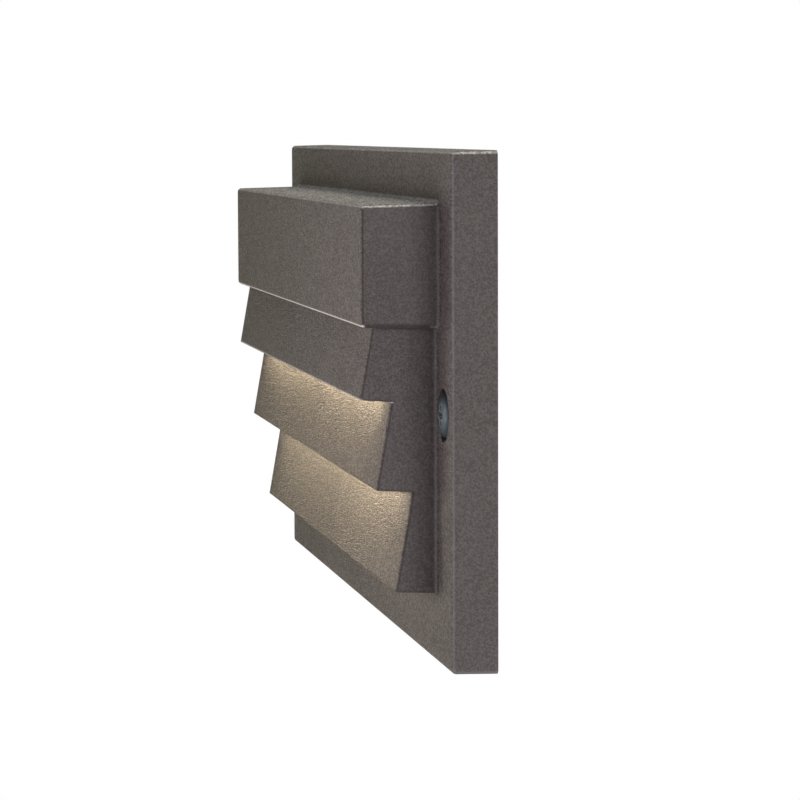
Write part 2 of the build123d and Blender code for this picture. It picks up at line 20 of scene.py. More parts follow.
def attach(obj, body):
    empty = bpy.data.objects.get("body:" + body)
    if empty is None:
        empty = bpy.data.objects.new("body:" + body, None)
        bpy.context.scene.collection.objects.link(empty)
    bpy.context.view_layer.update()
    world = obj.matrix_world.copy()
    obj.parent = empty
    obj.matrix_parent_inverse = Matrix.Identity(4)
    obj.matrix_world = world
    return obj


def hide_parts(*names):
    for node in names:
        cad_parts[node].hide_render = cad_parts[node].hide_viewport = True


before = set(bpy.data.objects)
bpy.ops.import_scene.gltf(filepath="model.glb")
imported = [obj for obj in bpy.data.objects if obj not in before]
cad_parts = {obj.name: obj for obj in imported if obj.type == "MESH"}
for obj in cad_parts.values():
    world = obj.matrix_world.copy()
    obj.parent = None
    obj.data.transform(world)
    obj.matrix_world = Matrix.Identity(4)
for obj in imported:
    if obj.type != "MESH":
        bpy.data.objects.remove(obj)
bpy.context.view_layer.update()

LOG = logging.getLogger("step_light")
MM = 0.001

Colour = tuple[float, float, float]
Point = tuple[float, float, float]
Span = tuple[float, ...]
Socket = bpy.types.NodeSocket
Sockets = bpy.types.bpy_prop_collection
Tree = bpy.types.NodeTree
Piece = bpy.types.Object

WHITE = (1.0, 1.0, 1.0, 1.0)
BLACK = (0.0, 0.0, 0.0, 1.0)
BEVEL_SAMPLES = 4
CORNER_SAMPLES = 6


def stand(name: str, data: bpy.types.ID) -> Piece:
    """Adds an object to the scene.

    Args:
        name: Its name.
        data: Its mesh, camera or lamp.

    Returns:
        The object.
    """
    made = bpy.data.objects.new(name, data)
    bpy.context.collection.objects.link(made)
    return made


class Plating(Enum):
    """Surface treatments of the metal pieces, as (scratch length, spangle share)."""

    ROLLED = (30.0, 0.0)
    ZINC = (3.0, 0.65)
    TURNED = (8.0, 0.15)


class Graph:
    """A node tree with short calls for adding, setting and joining nodes."""

    MIX_COLOURS = (6, 7)
    MIX_RESULT = 2

    def __init__(self, tree: Tree) -> None:
        """Wraps a shader or geometry tree, which gets the nodes."""
        self.tree = tree

    @classmethod
    def blank(cls, owner: bpy.types.ID) -> "Graph":
        """Empties the tree of a material or a world, and opens it.

        Args:
            owner: The material or the world.

        Returns:
            Its graph.
        """
        owner.use_nodes = True
        owner.node_tree.nodes.clear()
        return cls(owner.node_tree)

    def sockets(self, rows: list[tuple[str, str, str, object]]) -> None:
        """Gives a group its sockets.

        Args:
            rows: Each one's name, INPUT or OUTPUT, kind, and first value or None.
        """
        for name, way, kind, value in rows:
            made = self.tree.interface.new_socket(name=name, in_out=way, socket_type=f"NodeSocket{kind}")
            if value is not None:
                made.default_value = value

    def fill(self, sockets: Sockets, values: dict) -> None:
        """Joins or sets some of a node's inputs.

        Args:
            sockets: The node's inputs.
            values: Values to set or output sockets to join, by the input's name or number.
        """
        for key, value in values.items():
            if isinstance(value, Socket):
                self.tree.links.new(value, sockets[key])
            else:
                sockets[key].default_value = value

    def add(self, kind: str, inputs: dict | None = None, **settings: object) -> bpy.types.Node:
        """Adds a node, sets its properties and fills its inputs.

        Args:
            kind: The node's Blender type name.
            inputs: Values or output sockets, by the input's name or number.
            settings: Properties of the node itself.

        Returns:
            The new node.
        """
        made = self.tree.nodes.new(kind)
        for name, value in settings.items():
            setattr(made, name, value)
        self.fill(made.inputs, inputs or {})
        return made

    def group(self, tree: Tree, inputs: dict) -> Sockets:
        """Places a shared group with values or sockets by name, and gives its outputs."""
        return self.add("ShaderNodeGroup", inputs, node_tree=tree).outputs

    def math(self, operation: str, first: object, second: object = 0.0, clamp: bool = False) -> Socket:
        """Adds a Math node on two numbers or sockets, clamped to 0 and 1 or not."""
        inputs = {0: first, 1: second}
        return self.add("ShaderNodeMath", inputs, operation=operation, use_clamp=clamp).outputs[0]

    def times(self, first: object, second: object) -> Socket:
        """Multiplies two numbers or sockets."""
        return self.math("MULTIPLY", first, second)

    def most(self, *values: Socket) -> Socket:
        """Finds the largest of some values."""
        return reduce(lambda first, second: self.math("MAXIMUM", first, second), values)

    def blend(self, share: object, first: object, second: object) -> Socket:
        """Mixes two colours.

        Args:
            share: How much of the second colour shows.
            first: A colour or a socket.
            second: A colour or a socket.

        Returns:
            The mixed colour.
        """
        ends = (end if isinstance(end, Socket) else (*end, 1.0) for end in (first, second))
        inputs = {0: share, **dict(zip(self.MIX_COLOURS, ends))}
        return self.add("ShaderNodeMix", inputs, data_type="RGBA").outputs[self.MIX_RESULT]

    def span(
        self, value: Socket, low: float, high: float, to_low: float = 0.0, to_high: float = 1.0
    ) -> Socket:
        """Maps a range onto another one, 0 to 1 unless it is given, and holds the value inside it."""
        ends = {"From Min": low, "From Max": high, "To Min": to_low, "To Max": to_high}
        return self.add("ShaderNodeMapRange", {"Value": value, **ends}).outputs[0]

    def parts(self, vector: Socket) -> Sockets:
        """Splits a vector into its X, Y and Z."""
        return self.add("ShaderNodeSeparateXYZ", {0: vector}).outputs

    def noise(
        self, place: Socket, scale: object, detail: float, roughness: float = 0.5, distortion: float = 0.0
    ) -> Socket:
        """Adds a noise texture.

        Args:
            place: Where it is looked up.
            scale: Waves per metre.
            detail: Octaves of finer waves.
            roughness: Strength of the finer waves.
            distortion: How much the waves are bent.

        Returns:
            The noise, about 0 to 1.
        """
        inputs = {"Vector": place, "Scale": scale, "Detail": detail}
        inputs |= {"Roughness": roughness, "Distortion": distortion}
        return self.add("ShaderNodeTexNoise", inputs).outputs[0]

    def relief(self, height: Socket, depth: float) -> Socket:
        """Turns a height, about 0 to 1, into a normal. The depth in metres is what 1 stands for."""
        inputs = {"Height": height, "Distance": depth, "Strength": 1.0}
        return self.add("ShaderNodeBump", inputs).outputs[0]


@dataclass(frozen=True)
class EdgeZones:
    """Ranges over which the masks of the Edge Wear And Painted Light group grow from none to full.

    Each is (start, end), followed by what they become where that isn't 0 and 1. Those that end in an
    axis are places on the casting. Turned is a cosine, patch a noise and corner_shade a share of open
    sky, below which corners get painted shade.
    The others are parts of a normal: its largest for rounded, its sideways one for endways, sideways
    and end, its forward one for forward, and its upward one for the rest.
    """

    turned: Span = (0.99, 0.8)
    patch: Span = (0.4, 0.62, 0.15, 1.0)
    rounded: Span = (0.965, 0.8)
    # Up-facing rounded edges that get the painted ridge highlight.
    ridge_up: Span = (0.35, 0.6)
    ridge_end: Span = (0.93, 0.8)
    endways: Span = (0.3, 0.6, 0.3, 1.0)
    drooping: Span = (-0.02, -0.25)
    forward: Span = (0.25, 0.5)
    under_hood: Span = (-0.2, -0.5)
    level: Span = (0.3, 0.1)
    sideways: Span = (0.35, 0.7)
    top: Span = (0.85, 1.0)
    end: Span = (0.6, 0.95)
    # Painted shade in corners: the coat darkens where ambient occlusion falls from this share of open sky.
    corner_shade: Span = (0.72, 0.4, 0.0, 0.75)
    root_y: Span = (-8.4 * MM, -8.0 * MM)
    blades_z: Span = (5.0 * MM, 3.0 * MM)
    # Lips above this height get a painted highlight, lower ones painted shade.
    upper_lips_z: Span = (-3.0 * MM, -1.0 * MM)
    # Heights where the light specks on level tops fade from the hood's full amount to about a third on the
    # plate's.
    top_speck_fade_z: Span = (32.0 * MM, 34.0 * MM, 1.0, 0.35)


class Effects:
    """Shader node groups that several finishes share. Each is built once.

    The scales are in waves or cells per metre. Peel and stones are shares of the grain's own scale.
    """

    PEEL = 0.42
    STONES = 1.1
    MOTTLE_SCALE = 55.0
    PATCH_SCALE = 420.0
    SMEAR_SCALE = 70.0
    SPECK_SCALE = 900.0

    DOME_HEIGHT = 0.5
    STONE_HEIGHT = 0.45
    GRIT_HEIGHT = 0.4

    FLECK_CHANCE = (0.15, 0.95)
    MOTTLE = (0.3, 0.7)
    SMEAR = (0.35, 0.7)
    SPECK = (0.16, 0.08)

    def __init__(self) -> None:
        """Builds the groups."""
        self.grain = self._grain()
        # Edge wear, and the painted highlights and shade along edges and in corners.
        self.wear = self._edge_wear_and_light()
        self.haze = self._haze()

    @staticmethod
    def _open(name: str, takes: dict[str, float], gives: tuple[str, ...]) -> tuple[Graph, Sockets, Sockets]:
        """Opens a new group that takes a Vector and numbers, and gives numbers.

        Args:
            name: The group's name.
            takes: Its number inputs with their first values.
            gives: The names of its outputs.

        Returns:
            The group's graph, what it takes and what it gives.
        """
        graph = Graph(bpy.data.node_groups.new(name, "ShaderNodeTree"))
        graph.sockets([("Vector", "INPUT", "Vector", None)])
        graph.sockets([(key, "INPUT", "Float", value) for key, value in takes.items()])
        graph.sockets([(key, "OUTPUT", "Float", None) for key in gives])
        return graph, graph.add("NodeGroupInput").outputs, graph.add("NodeGroupOutput").inputs

    def _grain(self) -> Tree:
        """Builds the sandy skin of a powder coat or a moulded surface.

        Returns:
            A group that gives a Height, a Fleck mask and a slow Mottle.
        """
        graph, takes, gives = self._open(
            "Sandy Grain",
            {"Grain Size": 0.35 * MM, "Coarseness": 0.5, "Draw": 1.0},
            ("Height", "Fleck", "Mottle"),
        )
        along = graph.add("ShaderNodeCombineXYZ", {"X": takes["Draw"], "Y": 1.0, "Z": 1.0}).outputs[0]
        stretch = graph.add("ShaderNodeVectorMath", {0: takes["Vector"], 1: along}, operation="MULTIPLY")
        drawn = stretch.outputs[0]
        scale = graph.math("DIVIDE", 1.0, takes["Grain Size"])
        grit = graph.noise(drawn, scale, 2.0)
        peel = graph.noise(drawn, graph.times(scale, self.PEEL), 1.0, 0.4)
        cells = graph.add("ShaderNodeTexVoronoi", {"Vector": drawn, "Scale": graph.times(scale, self.STONES)})
        chance = graph.add("ShaderNodeSeparateColor", {0: cells.outputs["Color"]}).outputs[0]
        domes = graph.times(graph.math("SUBTRACT", 1.0, cells.outputs["Distance"]), self.DOME_HEIGHT)
        stones = graph.math("ADD", domes, graph.times(chance, self.STONE_HEIGHT))
        lumpy = graph.math("ADD", stones, graph.times(peel, takes["Coarseness"]))
        slow = graph.noise(takes["Vector"], self.MOTTLE_SCALE, 3.0)
        height = graph.math("ADD", lumpy, graph.times(grit, self.GRIT_HEIGHT))
        fleck = graph.span(chance, *self.FLECK_CHANCE)
        graph.fill(gives, {"Height": height, "Fleck": fleck, "Mottle": graph.span(slow, *self.MOTTLE)})
        return graph.tree

    def _edge_wear_and_light(self) -> Tree:
        """Builds the wear along a finish's edges, and the painted highlights and shade on and around them.

        Returns:
            A group that gives a Mask, 1 on a worn edge, and masks of painted highlights on rounded edges:
            Ridge Highlight where they face up, Lip Highlight under the upper blades' fronts, and Root
            Highlight where they stand upright against the plate. Shade marks painted shade on the other
            upright and lower edges and in the nooks. Top marks level surfaces and End the faces at the
            light's two ends.
        """
        graph, takes, gives = self._open(
            "Edge Wear",
            {"Width": 0.4 * MM, "Amount": 0.5, "Rounds": 1.0, "Reach": 1.6 * MM, "Lip Width": 0.5 * MM},
            ("Mask", "Crown", "Lip", "Shade", "Seam", "Top", "End"),
        )
        zones = EdgeZones()
        facing = graph.parts(graph.add("ShaderNodeTexCoord").outputs["Normal"])
        spot = graph.parts(takes["Vector"])
        sides = [graph.math("ABSOLUTE", part) for part in facing]
        rounded = graph.span(graph.most(*sides), *zones.rounded)
        root = graph.span(spot[1], *zones.root_y)

        bevel = graph.add("ShaderNodeBevel", {"Radius": takes["Width"]}, samples=BEVEL_SAMPLES).outputs[0]
        flat = graph.add("ShaderNodeNewGeometry").outputs["Normal"]
        turned = graph.add("ShaderNodeVectorMath", {0: bevel, 1: flat}, operation="DOT_PRODUCT")
        edge = graph.span(turned.outputs["Value"], *zones.turned)
        either = graph.most(edge, graph.times(rounded, takes["Rounds"]))
        patch = graph.span(graph.noise(takes["Vector"], self.PATCH_SCALE, 4.0), *zones.patch)

        # Up-facing rounded edges, strongest at the ends: a painted highlight.
        ridge = graph.times(graph.span(facing[2], *zones.ridge_up), graph.span(facing[2], *zones.ridge_end))
        level = graph.times(rounded, graph.span(facing[2], *zones.level))
        # Upright rounded edges: painted shade, except along the plate's root, which gets a painted highlight.
        upright = graph.times(level, graph.span(sides[0], *zones.sideways))
        # The hood's upright root: a painted highlight.
        seam = graph.times(upright, root)
        raised = graph.math("SUBTRACT", 1.0, root)
        under_hood = graph.times(rounded, graph.span(facing[2], *zones.under_hood))
        # The upper lips get a painted highlight; the other lower edges get painted shade.
        lip, lower = self._lips(graph, takes["Lip Width"], spot[2], raised, under_hood)
        # Painted shade in corners, from ambient occlusion.
        corner = graph.add("ShaderNodeAmbientOcclusion", {"Distance": takes["Reach"]}, samples=CORNER_SAMPLES)
        corner_shade = graph.span(corner.outputs["AO"], *zones.corner_shade)
        # Fewer light top specks on the plate's top than on the hood's.
        top_speck_fade = graph.span(spot[2], *zones.top_speck_fade_z)
        masks = {
            "Mask": graph.math("MULTIPLY", graph.times(either, patch), takes["Amount"], clamp=True),
            "Crown": graph.times(ridge, graph.span(sides[0], *zones.endways)),
            "Lip": lip,
            "Shade": graph.most(graph.math("SUBTRACT", upright, seam), lower, corner_shade),
            "Seam": seam,
            "Top": graph.times(graph.span(facing[2], *zones.top), top_speck_fade),
            "End": graph.span(sides[0], *zones.end),
        }
        graph.fill(gives, masks)
        return graph.tree

    @staticmethod
    def _lips(graph: Graph, width: Socket, z: Socket, raised: Socket, under_hood: Socket) -> tuple:
        """Finds the lower edges of the louvres and the hood.

        Args:
            graph: The Edge Wear group's graph.
            width: How far from its edge a lip reaches.
            z: Height on the casting.
            raised: Mask of what stands off the plate.
            under_hood: Mask of the rounded edges that face down.

        Returns:
            Masks of the upper blades' front lips, for a painted highlight, and of all the other lower edges,
            for painted shade.
        """
        zones = EdgeZones()
        bevel = graph.add("ShaderNodeBevel", {"Radius": width}, samples=BEVEL_SAMPLES)
        bent = graph.parts(bevel.outputs[0])
        low = graph.times(graph.span(bent[2], *zones.drooping), raised)
        fronts = graph.span(graph.math("ABSOLUTE", bent[1]), *zones.forward)
        on_blade = graph.times(low, graph.span(z, *zones.blades_z))
        front_low = graph.times(graph.most(on_blade, graph.times(under_hood, raised)), fronts)
        side_low = graph.times(low, graph.math("SUBTRACT", 1.0, fronts))
        # Lips of the upper blades, for a painted highlight; the rest of the lower edges get painted shade.
        lip = graph.times(front_low, graph.span(z, *zones.upper_lips_z))
        return lip, graph.most(graph.math("SUBTRACT", front_low, lip), side_low)

    def _haze(self) -> Tree:
        """Builds the faint handling marks and dust that lie on any surface.

        Returns:
            A group that gives Smear and Dust masks.
        """
        graph, takes, gives = self._open("Handling Haze", {"Spread": 1.0}, ("Smear", "Dust"))
        scale = graph.math("DIVIDE", self.SMEAR_SCALE, takes["Spread"])
        broad = graph.noise(takes["Vector"], scale, 5.0, distortion=0.8)
        specks = graph.add("ShaderNodeTexVoronoi", {"Vector": takes["Vector"], "Scale": self.SPECK_SCALE})
        dust = graph.span(specks.outputs["Distance"], *self.SPECK)
        graph.fill(gives, {"Smear": graph.span(broad, *self.SMEAR), "Dust": dust})
        return graph.tree


@dataclass(frozen=True)
class Finish(ABC):
    """What every finish has: a name, a colour and a roughness, which swings by a small range."""

    name: str
    colour: Colour
    roughness: float

    SWING = (0.0, 0.1)

    def build(self, effects: Effects) -> bpy.types.Material:
        """Makes the material.

        Args:
            effects: The shared groups.

        Returns:
            The material.
        """
        material = bpy.data.materials.new(self.name)
        graph = Graph.blank(material)
        shader = graph.add(
            "ShaderNodeBsdfPrincipled", {"Base Color": (*self.colour, 1.0), "Roughness": self.roughness}
        )
        graph.add("ShaderNodeOutputMaterial", {"Surface": shader.outputs[0]})
        place = graph.add("ShaderNodeTexCoord").outputs["Object"]
        graph.fill(shader.inputs, self.paint(graph, place, effects))
        return material

    @abstractmethod
    def paint(self, graph: Graph, place: Socket, effects: Effects) -> dict[str, object]:
        """Works out this finish's own colours, values and relief.

        Args:
            graph: The material's graph.
            place: The Object coordinates.
            effects: The shared groups.

        Returns:
            The shader's inputs, by name.
        """

    def rough(self, graph: Graph, mask: Socket, low: float = 0.0, high: float = 1.0) -> Socket:
        """Lets the roughness swing as a mask goes from its low to its high value."""
        down, up = self.SWING
        return graph.span(mask, low, high, self.roughness + down, self.roughness + up)


@dataclass(frozen=True)
class PowderCoat(Finish):
    """Sandy bronze powder coat on a casting.

    Attributes:
        shade, glint: Colours of the slow mottle, and of the flecks and rubbed edges.
        draw: Under 1 for grains that are longer along the plate.
        fleck, calm: Strength of the flecks, and how much of the grain is left on the two ends.
        dust, painted_shade, seam: Colours of ridge and lip highlights and top specks, of the painted shade in
            nooks and on edges, and of the painted highlight along the hood's root.
        shares: How much of them shows: the painted shade in nooks and on edges, the painted highlights on
            lips and along the root, and the specks on tops.
        speckle, ridge_highlight: The flecks that take the dust colour on a level top, as dust and painted
            glints, and the painted highlight on a ridge.
        polish: How much smoother a rubbed edge is.
    """

    shade: Colour
    glint: Colour
    grain_size: float
    grain_depth: float
    edge_width: float
    draw: float
    fleck: float
    calm: float
    wear: float
    dust: Colour
    painted_shade: Colour
    seam: Colour
    shares: tuple[float, float, float, float] = (0.75, 0.9, 0.55, 0.7)
    speckle: Span = (0.4, 1.0)
    ridge_highlight: Span = (0.1, 0.6, 0.45, 1.0)
    polish: float = 0.12

    SWING = (-0.05, 0.06)
    MEAN = 0.5

    def paint(self, graph: Graph, place: Socket, effects: Effects) -> dict[str, object]:
        """Lays the mottled, flecked coat, the painted highlights and shade along its edges, and the specks on
        its tops.

        Args:
            graph: The material's graph.
            place: The Object coordinates.
            effects: The shared groups.

        Returns:
            The shader's inputs, by name.
        """
        size = {"Grain Size": self.grain_size, "Coarseness": 0.5, "Draw": self.draw}
        grain = graph.group(effects.grain, {"Vector": place, **size})
        edges = {"Width": self.edge_width, "Amount": self.wear}
        wear = graph.group(effects.wear, {"Vector": place, **edges})
        haze = graph.group(effects.haze, {"Vector": place, "Spread": 2.0})
        in_painted_shade, on_lip_highlights, on_root_highlight, on_tops = self.shares

        base = graph.blend(grain["Mottle"], self.colour, self.shade)
        calmed = graph.span(wear["End"], 0.0, 1.0, 1.0, self.calm)
        swing = graph.times(graph.math("SUBTRACT", grain["Fleck"], self.MEAN), calmed)
        bright = graph.times(graph.math("ADD", swing, self.MEAN), self.fleck)
        coat = graph.blend(bright, base, self.glint)
        coat = graph.blend(wear["Mask"], coat, self.glint)
        # Painted shade on upright and lower edges and in nooks.
        coat = graph.blend(graph.times(wear["Shade"], in_painted_shade), coat, self.painted_shade)
        # Painted highlight under the upper lips, in the dust colour.
        coat = graph.blend(graph.times(wear["Lip"], on_lip_highlights), coat, self.dust)
        # Painted highlight along the hood's upright root.
        coat = graph.blend(graph.times(wear["Seam"], on_root_highlight), coat, self.seam)
        # Light specks on level tops: partly dust, partly painted glints of the grain.
        specks = graph.times(wear["Top"], graph.span(grain["Fleck"], *self.speckle))
        # Painted highlight along the up-facing ridges.
        ridge_highlight = graph.times(wear["Crown"], graph.span(grain["Fleck"], *self.ridge_highlight))
        highlight_and_dust = graph.math("ADD", ridge_highlight, graph.times(specks, on_tops), clamp=True)
        polished = graph.times(wear["Mask"], self.polish)
        return {
            # The dust colour carries the painted ridge highlight and the top specks.
            "Base Color": graph.blend(highlight_and_dust, coat, self.dust),
            "Roughness": graph.math("SUBTRACT", self.rough(graph, haze["Smear"]), polished),
            "Normal": graph.relief(graph.times(grain["Height"], calmed), self.grain_depth),
        }


@dataclass(frozen=True)
class Moulding(Finish):
    """Moulded plastic, rubber or foam with a fine skin."""

    grain_size: float
    grain_depth: float
    lighter: Colour
    sheen: float = 0.0
    clear: float = 0.0

    SWING = (-0.06, 0.08)
    MOTTLED = 0.5
    DUSTY = 0.25

    def paint(self, graph: Graph, place: Socket, effects: Effects) -> dict[str, object]:
        """Tones the moulding with a slow mottle and a little dust.

        Args:
            graph: The material's graph.
            place: The Object coordinates.
            effects: The shared groups.

        Returns:
            The shader's inputs, by name.
        """
        size = {"Grain Size": self.grain_size, "Coarseness": 0.4}
        grain = graph.group(effects.grain, {"Vector": place, **size})
        haze = graph.group(effects.haze, {"Vector": place, "Spread": 1.0})
        toned = graph.blend(graph.times(grain["Mottle"], self.MOTTLED), self.colour, self.lighter)
        return {
            "Base Color": graph.blend(graph.times(haze["Dust"], self.DUSTY), toned, self.lighter),
            "Roughness": self.rough(graph, haze["Smear"]),
            "Sheen Weight": self.sheen,
            "Transmission Weight": self.clear,
            "Normal": graph.relief(grain["Height"], self.grain_depth),
        }


@dataclass(frozen=True)
class Metal(Finish):
    """Bare or plated metal with its rolling marks, spangle and rubbed edges, which on the face screws also
    paint in glints.
    """

    plating: Plating
    tarnish: Colour
    rubbed_and_glint: Colour
    edge: float = 0.6

    SWING = (-0.07, 0.09)
    LINE_SCALE = 260.0
    SPANGLE_SCALE = 520.0
    LINES = (0.3, 0.7)
    LINE_DEPTH = 0.004 * MM
    EDGE_WIDTH = 0.3 * MM
    SMEARED = 0.45
    SPANGLE_ROUGH = 0.15

    def paint(self, graph: Graph, place: Socket, effects: Effects) -> dict[str, object]:
        """Draws the rolling marks, dulls the spangle and brightens the edges, on the face screws also as
        painted glints.

        Args:
            graph: The material's graph.
            place: The Object coordinates.
            effects: The shared groups.

        Returns:
            The shader's inputs, by name.
        """
        length, spangled = self.plating.value
        drawn = graph.add("ShaderNodeMapping", {"Vector": place, "Scale": (1.0, length, length)})
        lines = graph.noise(drawn.outputs[0], self.LINE_SCALE, 3.0)
        flakes = graph.add("ShaderNodeTexVoronoi", {"Vector": place, "Scale": self.SPANGLE_SCALE})
        haze = graph.group(effects.haze, {"Vector": place, "Spread": 1.5})
        edges = {"Width": self.EDGE_WIDTH, "Amount": self.edge, "Rounds": 0.0}
        wear = graph.group(effects.wear, {"Vector": place, **edges})
        chance = graph.add("ShaderNodeSeparateColor", {0: flakes.outputs["Color"]}).outputs[0]
        patch = graph.times(chance, spangled)
        dull = graph.math("ADD", patch, graph.times(haze["Smear"], self.SMEARED), clamp=True)
        toned = graph.blend(dull, self.colour, self.tarnish)
        streak = self.rough(graph, lines, *self.LINES)
        return {
            # Rubbed edges; on the face screws their near-white also paints in glints.
            "Base Color": graph.blend(wear["Mask"], toned, self.rubbed_and_glint),
            "Roughness": graph.math("ADD", streak, graph.times(patch, self.SPANGLE_ROUGH)),
            "Metallic": 1.0,
            "Normal": graph.relief(lines, self.LINE_DEPTH),
        }


@dataclass(frozen=True)
class Laminate(Finish):
    """Circuit board: lacquer over copper tracks."""

    copper: Colour
    track_pitch: float

    SWING = (0.0, 0.15)
    TRACK_WIDTH = 0.12
    TRACK_LENGTH = 3.2
    TRACK_SHOWS = 0.55
    MOTTLED = 0.3
    DEPTH = 0.01 * MM

    def paint(self, graph: Graph, place: Socket, effects: Effects) -> dict[str, object]:
        """Runs the tracks under a mottled lacquer.

        Args:
            graph: The material's graph.
            place: The Object coordinates.
            effects: The shared groups.

        Returns:
            The shader's inputs, by name.
        """
        tracks = graph.add(
            "ShaderNodeTexBrick",
            {
                "Vector": place,
                "Scale": 1.0,
                "Mortar Size": self.track_pitch * self.TRACK_WIDTH,
                "Brick Width": self.track_pitch * self.TRACK_LENGTH,
                "Row Height": self.track_pitch,
                "Color1": BLACK,
                "Color2": BLACK,
                "Mortar": WHITE,
            },
        )
        grain = graph.group(effects.grain, {"Vector": place, "Grain Size": 0.25 * MM, "Coarseness": 0.3})
        haze = graph.group(effects.haze, {"Vector": place, "Spread": 1.0})
        line = graph.times(tracks.outputs["Fac"], self.TRACK_SHOWS)
        lacquer = graph.blend(graph.times(grain["Mottle"], self.MOTTLED), self.colour, self.copper)
        return {
            "Base Color": graph.blend(line, lacquer, self.copper),
            "Roughness": self.rough(graph, haze["Smear"]),
            "Normal": graph.relief(graph.math("ADD", line, grain["Height"]), self.DEPTH),
        }


@dataclass(frozen=True)
class Glow(Finish):
    """A frosted or phosphor surface that shines while the light is on."""

    emission: Colour
    strength: float
    patch: float

    DEPTH = 0.01 * MM

    def paint(self, graph: Graph, place: Socket, effects: Effects) -> dict[str, object]:
        """Makes the surface shine, a little unevenly.

        Args:
            graph: The material's graph.
            place: The Object coordinates.
            effects: The shared groups.

        Returns:
            The shader's inputs, by name.
        """
        grain = graph.group(effects.grain, {"Vector": place, "Grain Size": 0.3 * MM, "Coarseness": 0.5})
        dim = tuple(value * (1.0 - self.patch) for value in self.emission)
        return {
            "Emission Color": graph.blend(grain["Mottle"], self.emission, dim),
            "Emission Strength": self.strength,
            "Roughness": self.rough(graph, grain["Fleck"]),
            "Normal": graph.relief(grain["Height"], self.DEPTH),
        }


FINISHES: tuple[Finish, ...] = (
    PowderCoat(
        "cast_bronze",
        (0.066, 0.0545, 0.053),
        0.6,
        shade=(0.058, 0.0475, 0.0465),
        glint=(0.27, 0.24, 0.232),
        grain_size=0.26 * MM,
        grain_depth=0.32 * MM,
        edge_width=0.35 * MM,
        draw=0.5,
        fleck=0.58,
        calm=0.52,
        wear=0.1,
        # Near-white: the painted highlights on ridges and lips, and the top specks, partly dust.
        dust=(0.86, 0.85, 0.82),
        # Painted shade on edges and in nooks.
        painted_shade=(0.03, 0.022, 0.022),
        # Painted highlight along the hood's root.
        seam=(0.255, 0.243, 0.255),
    ),
    Glow("frosted_lens", (0.9, 0.88, 0.82), 0.45, (1.0, 0.78, 0.5), 32.0, 0.12),
    Glow("led_yellow", (0.85, 0.62, 0.12), 0.4, (1.0, 0.76, 0.42), 60.0, 0.1),
    Moulding("clear_silicone", (0.62, 0.62, 0.6), 0.35, 0.4 * MM, 0.01 * MM, (0.74, 0.74, 0.72), 0.0, 0.3),
    Moulding("black_silicone", (0.018, 0.018, 0.019), 0.5, 0.3 * MM, 0.012 * MM, (0.05, 0.05, 0.052), 0.1),
    Moulding("black_foam", (0.02, 0.02, 0.021), 0.85, 0.5 * MM, 0.12 * MM, (0.07, 0.07, 0.072), 0.3),
    Moulding("white_reflector", (0.84, 0.84, 0.82), 0.4, 0.5 * MM, 0.004 * MM, (0.9, 0.9, 0.88)),
    Moulding("grey_pad", (0.3, 0.31, 0.33), 0.75, 0.35 * MM, 0.03 * MM, (0.42, 0.43, 0.45)),
    Moulding("clear_film", (0.7, 0.66, 0.5), 0.25, 0.8 * MM, 0.004 * MM, (0.78, 0.74, 0.58), 0.0, 0.4),
    Moulding("black_epoxy", (0.022, 0.022, 0.024), 0.42, 0.16 * MM, 0.012 * MM, (0.055, 0.055, 0.058)),
    Moulding("ferrite", (0.06, 0.06, 0.064), 0.6, 0.22 * MM, 0.02 * MM, (0.12, 0.12, 0.125)),
    Moulding("connector_plastic", (0.7, 0.69, 0.64), 0.4, 0.3 * MM, 0.008 * MM, (0.8, 0.79, 0.75)),
    Laminate("green_board", (0.012, 0.11, 0.045), 0.3, (0.07, 0.26, 0.1), 1.9 * MM),
    Laminate("white_board", (0.78, 0.79, 0.78), 0.35, (0.62, 0.63, 0.62), 2.4 * MM),
    Metal(
        "bare_aluminium", (0.74, 0.745, 0.75), 0.38, Plating.ROLLED, (0.55, 0.56, 0.575), (0.86, 0.865, 0.87)
    ),
    Metal("zinc_steel", (0.62, 0.635, 0.66), 0.36, Plating.ZINC, (0.42, 0.44, 0.47), (0.78, 0.79, 0.81)),
    # The face screws' near-white rubbed colour is partly wear, partly painted glints on the recess.
    Metal(
        "screw_steel", (0.1, 0.125, 0.145), 0.6, Plating.TURNED, (0.07, 0.09, 0.105), (0.85, 0.86, 0.88), 1.0
    ),
    Metal("can_metal", (0.66, 0.665, 0.67), 0.28, Plating.TURNED, (0.5, 0.505, 0.51), (0.82, 0.825, 0.83)),
    Metal("pin_metal", (0.8, 0.76, 0.62), 0.28, Plating.TURNED, (0.62, 0.58, 0.46), (0.95, 0.92, 0.8)),
)


class Materials:
    """Every finish of the light, built once and found by its slot's name."""

    def __init__(self) -> None:
        """Builds the shared groups and the finishes."""
        effects = Effects()
        names = {finish.name for finish in FINISHES}
        for old in list(bpy.data.materials):
            if old.name in names:
                old.name = f"plain_{old.name}"
        self.by_name = {finish.name: finish.build(effects) for finish in FINISHES}

    def dress_nodes(self) -> None:
        """Puts each slot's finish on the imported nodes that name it."""
        for node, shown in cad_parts.items():
            for slot in shown.material_slots:
                wanted = slot.material.name.removeprefix("plain_").split(".")[0]
                slot.material = self.by_name[wanted]
            LOG.info("%s wears %s", node, ", ".join(s.material.name for s in shown.material_slots))


